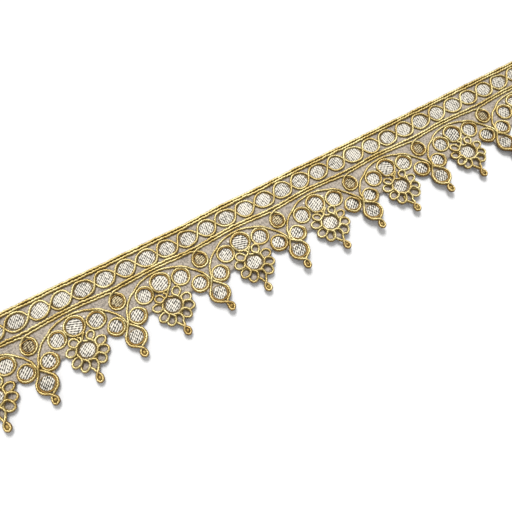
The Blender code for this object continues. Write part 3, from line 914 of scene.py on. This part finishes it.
class TRIM_OT_rounds(bpy.types.Operator):
    """Make the woven silver rounds and the crinkled gold ones"""

    bl_idname = "trim.rounds"
    bl_label = "Woven rounds"

    def execute(self, context):
        weave = sizes().weave / MM
        draws = np.random.default_rng(40)
        # The last colour is the painted shade along each round's edge, under its cord.
        silver = woven_material("woven_silver", tuple(colours().silver), (0.035, 0.03, 0.02),
                                (0.20, 0.13, 0.035), 0.1)
        border = Surface()
        for number in range(-BORDER_COUNT, BORDER_COUNT + 1):
            x = number * BORDER_PITCH + BORDER_SHIFT
            turn = math.radians(draws.uniform(-9, 9))
            size = draws.uniform(0.93, 1.04)
            add_woven_round(border, x + draws.normal(0.0, 0.2), BORDER_LINE + edge_sway(x) + draws.normal(0.0, 0.12),
                            4.85 * size, 1.1 * weave, turn, 100 + number, 0.85, half=4.2 * size)
        border_piece = border.make("border_rounds", silver)
        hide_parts("border_chain")
        motif = Surface()
        coarse = 1.15 * weave
        for repeat in FLOWERS:
            base = repeat * REPEAT
            for index, (along, across, radius) in enumerate(ARCH_ROUNDS):
                turn = math.radians(draws.uniform(-14, 14) + 60 * (index == 1) * (repeat % 2))
                add_woven_round(motif, base + along - 0.12, across + 0.15, radius - 1.05, coarse, turn,
                                300 + 10 * repeat + index, 0.86)
            for along, across in SPECKS:
                add_woven_round(motif, base + along, across, 0.75, weave, 0.9, 350 + repeat, 0.3)
            x, across, _ = flower_place(repeat)
            add_woven_round(motif, x, across, 4.25, coarse, 0.05, 500 + repeat, 0.86, half=3.85)
        for repeat in PENDANTS:
            base = repeat * REPEAT
            for index, (along, across, radius) in enumerate(SIDE_ROUNDS):
                add_woven_round(motif, base + along - 0.2, across - 0.3, radius - 1.2, coarse, 0.1 * index,
                                400 + 10 * repeat + index, 0.90)
            x, across, _ = pendant_place(repeat)
            add_woven_round(motif, x, across - 0.25, 3.9, coarse, -0.1, 600 + repeat, 0.98)
        motif_piece = motif.make("motif_rounds", silver)
        crinkled = Surface()
        for repeat in PENDANTS:
            along, across, radius = GOLD_ROUND
            add_woven_round(crinkled, repeat * REPEAT + along, across, radius, weave, 0.4,
                            700 + repeat, 0.95, relief=0.14, even=0.1)
        # The last colour is the painted shade along each round's edge, under its ring.
        dull = woven_material("crinkled_gold", (0.62, 0.52, 0.31), (0.07, 0.042, 0.014),
                              (0.12, 0.06, 0.01), 0.4)
        crinkled_piece = crinkled.make("gold_rounds", dull)
        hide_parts(*numbered("gold_round", 7))
        return {"FINISHED"}


class TRIM_OT_rails(bpy.types.Operator):
    """Lay the two pairs of straight cords"""

    bl_idname = "trim.rails"
    bl_label = "Rail cords"

    def execute(self, context):
        top = Surface()
        lay_cord(top, bed, rail_line(TOP_CORD_OUTER, edge_sway, 21), sizes(), thin=RAIL_THICK, lay=RAIL_LAY)
        lay_cord(top, bed, rail_line(TOP_CORD_INNER, edge_sway, 22), sizes(), thin=RAIL_THICK, phase=1.1, lay=RAIL_LAY)
        top_piece = top.make("top_rail_cords", gold())
        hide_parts("top_cord_outer", "top_cord_inner")
        lower = Surface()
        lay_cord(lower, bed, rail_line(LOWER_CORD_UPPER, lower_sway, 23), sizes(), thin=RAIL_THICK, lay=RAIL_LAY)
        lay_cord(lower, bed, looped_rail_line(), sizes(), phase=0.7, lay=RAIL_LAY)
        lower_piece = lower.make("lower_rail_cords", gold())
        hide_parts("lower_cord_upper", "lower_cord_looped")
        inner = Surface()
        along, across, radius = GOLD_ROUND
        for repeat in PENDANTS:
            ring = round_line(repeat * REPEAT + along, across, radius + 0.15, 800 + repeat)
            lay_cord(inner, bed, ring, sizes(), closed=True, thin=0.55)
        inner_piece = inner.make("gold_round_rings", amber())
        return {"FINISHED"}


class TRIM_OT_border(bpy.types.Operator):
    """Lay the two waved cords that cross between the border's rounds"""

    bl_idname = "trim.border"
    bl_label = "Border cords"

    def execute(self, context):
        """Each cord follows a rounded cosine and rises over the other at every second crossing."""
        surface = Surface()
        step = sizes().step / MM
        thickness = sizes().cord / MM
        x = np.linspace(-CORD_END, CORD_END, 2400)
        turn = math.pi * (x - BORDER_SHIFT) / BORDER_PITCH
        for side in (-1, 1):
            bend = 1.35
            early = turn + stray(x, 0.16, 21.0, 60 + side)
            wave = side * 4.45 * np.tanh(bend * np.cos(early)) / math.tanh(bend)
            across = BORDER_LINE + edge_sway(x) + wave + stray(x, 0.22, 14.0, 30 + side)
            height = CORD_SEAT + thickness / 2 + 0.1 + 0.42 * side * np.sin(turn)
            height = np.maximum(height, CORD_SEAT + thickness / 2 - 0.12)
            line = even_steps(np.column_stack((x, across, height)), step)
            add_twisted_cord(surface, line, thickness, sizes().lay / MM, phase=side)
            add_back_thread(line)
            add_padding(line, thickness)
        piece = surface.make("border_cords", gold())
        return {"FINISHED"}


class TRIM_OT_arches(bpy.types.Operator):
    """Lay the rings round the arch and side rounds, then the one cord over them"""

    bl_idname = "trim.arches"
    bl_label = "Arches and pendants"

    def execute(self, context):
        rings = Surface()
        underlay = Surface()
        for repeat in FLOWERS:
            for index, (along, across, radius) in enumerate(ARCH_ROUNDS):
                ring = round_line(repeat * REPEAT + along, across, radius - 0.52, 900 + 10 * repeat + index)
                lay_cord(rings, bed, ring, sizes(), closed=True)
                inside = arc_points(repeat * REPEAT + along, across, radius - 1.35, np.linspace(-130, 45, 30))
                lay_cord(underlay, bed, inside, sizes(), thin=0.55, seed=1400 + 10 * repeat + index)
        arch_piece = rings.make("arch_rings", gold())
        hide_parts(*numbered("arch", 8))
        pendants = Surface()
        drops = Surface()
        for repeat in PENDANTS:
            for index, (along, across, radius) in enumerate(SIDE_ROUNDS):
                seed = 950 + 10 * repeat + index
                ring = round_line(repeat * REPEAT + along, across, radius - 0.65, seed)
                laid = lay_cord(pendants, bed, ring, sizes(), closed=True, seed=seed)
                inside = arc_points(repeat * REPEAT + along, across, radius - 1.4, np.linspace(-50, 150, 30))
                lay_cord(underlay, bed, inside, sizes(), thin=0.6, seed=seed + 3)
                outer = np.roll(laid, len(laid) // 4, axis=0)
                for run in stretches(outer, outer[:, 1] > across - 1.5):
                    add_underlay(underlay, run, (repeat * REPEAT + along, across), out=0.5)
            x, across, lean = pendant_place(repeat)
            inside = arc_points(x, across, 4.05, np.linspace(-30, 205, 40))
            lay_cord(underlay, bed, inside, sizes(), thin=0.75, seed=990 + repeat)
            add_drop(drops, x + lean, across + DROP_NECK)
        for repeat in FLOWERS:
            x, across, lean = flower_place(repeat)
            add_drop(drops, x + lean, across + FLOWER_DROP)
        drop_piece = drops.make("drops", gold())
        pendant_piece = pendants.make("pendant_rings", gold())
        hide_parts(*numbered("pendant", 7))
        main_cord = Surface()
        laid = lay_cord(main_cord, bed, main_cord_line(), sizes())
        for repeat in PENDANTS:
            x, across, lean = pendant_place(repeat)
            for middle, reach in (((x, across), BIG_ROUND[2] + 0.2), ((x + lean, across + DROP_NECK), 2.2)):
                near = np.hypot(laid[:, 0] - middle[0], laid[:, 1] - middle[1]) < reach
                for run in stretches(laid, near & (laid[:, 1] > middle[1] - 3.0)):
                    add_underlay(underlay, run, middle)
        main_piece = main_cord.make("arch_and_loop_cord", gold())
        under_piece = underlay.make("pendant_underlay", amber())
        return {"FINISHED"}


class TRIM_OT_fuzz(bpy.types.Operator):
    """Make the short loose fibres along the straight edge"""

    bl_idname = "trim.fuzz"
    bl_label = "Loose fibres"

    def execute(self, context):
        """Each fibre leaves the outer cord sideways and bends by the square of its length."""
        draws = np.random.default_rng(77)
        count, rings, sides = 1500, 4, 3
        x = draws.uniform(-CORD_END, CORD_END, count)
        lean = draws.normal(0.0, 0.6, count)
        length = draws.uniform(0.25, 0.95, count)
        share = np.linspace(0, 1, rings)[None, :]
        curl = draws.normal(0.0, 0.5, count)[:, None]
        along = x[:, None] + length[:, None] * (lean[:, None] * share + curl * share ** 2)
        across = (TOP_CORD_OUTER + edge_sway(x) - 0.4)[:, None] - length[:, None] * share
        height = draws.uniform(1.2, 1.9, count)[:, None] - 0.35 * length[:, None] * share ** 2
        angle = math.tau * np.arange(sides) / sides
        thin = FIBRE * (1 - 0.7 * share)[:, :, None]
        middles = np.stack((along, across, height), axis=2)
        ring = np.stack(np.broadcast_arrays(thin * np.cos(angle), 0.0, thin * np.sin(angle)), axis=3)
        points = (middles[:, :, None, :] + ring).reshape(-1, 3)
        ends = middles[:, [0, -1]].reshape(-1, 3)
        quads, triangles = tube_faces(rings, sides, False)
        first = np.arange(count)[:, None, None]
        quads = quads[None] + first * rings * sides
        fan = np.where(triangles >= rings * sides, 0, triangles)[None] + first * rings * sides
        tip = count * rings * sides + 2 * first + (triangles[None] - rings * sides)
        fan = np.where(triangles[None] >= rings * sides, tip, fan)
        surface = Surface()
        total = len(points) + len(ends)
        # Every fibre gets a high crown value, so it is painted in the highlight colour all along.
        surface.add(np.vstack((points, ends)), quads.reshape(-1, 4), fan.reshape(-1, 3),
                    strand=np.full(total, 0.8), run=np.zeros(total), crown=np.full(total, 0.9),
                    stain=np.zeros(total))
        piece = surface.make("loose_fibres", gold())
        return {"FINISHED"}


class TRIM_OT_back(bpy.types.Operator):
    """Make the threads on the ribbon's back"""

    bl_idname = "trim.back"
    bl_label = "Back threads"

    def execute(self, context):
        piece = back.make("back_threads", amber())
        # The padding threads also get the painted highlight on top and painted shade below and in the grooves.
        deep = thread_material("padding_thread", (0.66, 0.52, 0.22), (0.50, 0.38, 0.14), (0.26, 0.18, 0.065), 0.4, 0.5)
        under = padding.make("padding_threads", deep)
        return {"FINISHED"}


class TRIM_OT_flowers(bpy.types.Operator):
    """Lay the looped petals of the flowers"""

    bl_idname = "trim.flowers"
    bl_label = "Flowers"

    def execute(self, context):
        petals = Surface()
        underlay = Surface()
        for repeat in FLOWERS:
            laid = lay_cord(petals, bed, petal_line(repeat), sizes())
            x, across, lean = flower_place(repeat)
            distance = np.hypot(laid[:, 0] - x, laid[:, 1] - across)
            for run in stretches(laid, (distance > 7.9) & (distance < 10.6) & (laid[:, 1] > across - 3.0)):
                add_underlay(underlay, run, (x, across))
            drop = (x + lean, across + FLOWER_DROP)
            near = np.hypot(laid[:, 0] - drop[0], laid[:, 1] - drop[1]) < 2.2
            for run in stretches(laid, near):
                add_underlay(underlay, run, drop)
        piece = petals.make("petal_cords", gold())
        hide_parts(*numbered("flower", 8))
        under_piece = underlay.make("petal_underlay", amber())
        return {"FINISHED"}


def soft_sun(name, direction, strength, spread):
    """Even light from far off, from the given direction, with soft edges to its shadows."""
    data = bpy.data.lights.new(name, "SUN")
    data.energy = strength
    data.angle = math.radians(spread)
    lamp = bpy.data.objects.new(name, data)
    lamp.location = Vector(direction)
    lamp.rotation_mode = "QUATERNION"
    lamp.rotation_quaternion = Vector(direction).to_track_quat("Z", "Y")
    bpy.context.scene.collection.objects.link(lamp)
    return lamp


class TRIM_OT_stage(bpy.types.Operator):
    """Make the pale floor, the soft light and the camera"""

    bl_idname = "trim.stage"
    bl_label = "Stage"

    def execute(self, context):
        mesh = bpy.data.meshes.new("floor")
        half = 2.5
        mesh.from_pydata([(-half, -half, 0.0), (half, -half, 0.0), (half, half, 0.0), (-half, half, 0.0)],
                         [], [(0, 1, 2, 3)])
        floor = bpy.data.objects.new("floor", mesh)
        context.scene.collection.objects.link(floor)
        material, tree, surface = shader("pale_floor", 0.9, 0.0)
        surface.inputs["Base Color"].default_value = (0.93, 0.93, 0.93, 1.0)
        mesh.materials.append(material)
        soft_sun("key_light", (0.2, 0.70, 1.0), 2.4, 24.0)
        world = bpy.data.worlds.new("studio")
        world.use_nodes = True
        world.node_tree.nodes["Background"].inputs["Color"].default_value = (1.0, 1.0, 1.0, 1.0)
        world.node_tree.nodes["Background"].inputs["Strength"].default_value = 0.56
        context.scene.world = world
        context.scene.view_settings.view_transform = "Standard"
        add_camera(context)
        return {"FINISHED"}


# The photo's camera over the trim: its place and its right, up and back directions
CAMERA_PLACE = (-87.3, -86.0, 292.1)
CAMERA_RIGHT = (0.8663, -0.4951, 0.0667)
CAMERA_UP = (0.4492, 0.8304, 0.3297)
FOCAL_PIXELS = 600.0
PHOTO_PIXELS = 512.0
SENSOR_MM = 36.0


def add_camera(context):
    data = bpy.data.cameras.new("camera")
    data.sensor_width = SENSOR_MM
    data.lens = FOCAL_PIXELS / PHOTO_PIXELS * SENSOR_MM
    data.clip_start = 0.01
    camera = bpy.data.objects.new("camera", data)
    right = Vector(CAMERA_RIGHT).normalized()
    back = right.cross(Vector(CAMERA_UP)).normalized()
    up = back.cross(right)
    turn = Matrix((right, up, back)).transposed().to_4x4()
    camera.matrix_world = Matrix.Translation(Vector(CAMERA_PLACE) * MM) @ turn
    context.scene.collection.objects.link(camera)
    context.scene.camera = camera


class TRIM_OT_declare(bpy.types.Operator):
    """Work out the ribbon's width along the trim; nothing is done with it"""

    bl_idname = "trim.declare"
    bl_label = "Sheet"

    def execute(self, context):
        x = np.linspace(-HALF_LENGTH, HALF_LENGTH, 2000)
        height = lower_outline(x) - TOP_EDGE - edge_sway(x)
        return {"FINISHED"}


class TRIM_PT_panel(bpy.types.Panel):
    """Buttons for the trim's pieces"""

    bl_idname = "TRIM_PT_panel"
    bl_label = "Gota lace trim"
    bl_space_type = "VIEW_3D"
    bl_region_type = "UI"
    bl_category = "Trim"

    def draw(self, context):
        for group in (context.scene.trim_sizes, context.scene.trim_colours):
            for name in group.__annotations__:
                self.layout.prop(group, name)
        for operator in OPERATORS:
            self.layout.operator(operator.bl_idname)


OPERATORS = (TRIM_OT_ribbon, TRIM_OT_rounds, TRIM_OT_rails, TRIM_OT_border, TRIM_OT_arches,
             TRIM_OT_flowers, TRIM_OT_back, TRIM_OT_fuzz, TRIM_OT_stage, TRIM_OT_declare)
CLASSES = (TrimSizes, TrimColours, *OPERATORS, TRIM_PT_panel)


def register():
    for kind in CLASSES:
        bpy.utils.register_class(kind)
    bpy.types.Scene.trim_sizes = bpy.props.PointerProperty(type=TrimSizes)
    bpy.types.Scene.trim_colours = bpy.props.PointerProperty(type=TrimColours)


def unregister():
    del bpy.types.Scene.trim_colours
    del bpy.types.Scene.trim_sizes
    for kind in reversed(CLASSES):
        bpy.utils.unregister_class(kind)


def main():
    register()
    bpy.ops.trim.ribbon()
    bpy.ops.trim.rounds()
    bpy.ops.trim.rails()
    bpy.ops.trim.border()
    bpy.ops.trim.arches()
    bpy.ops.trim.flowers()
    bpy.ops.trim.back()
    bpy.ops.trim.fuzz()
    bpy.ops.trim.stage()
    bpy.ops.trim.declare()


if __name__ == "__main__":
    main()
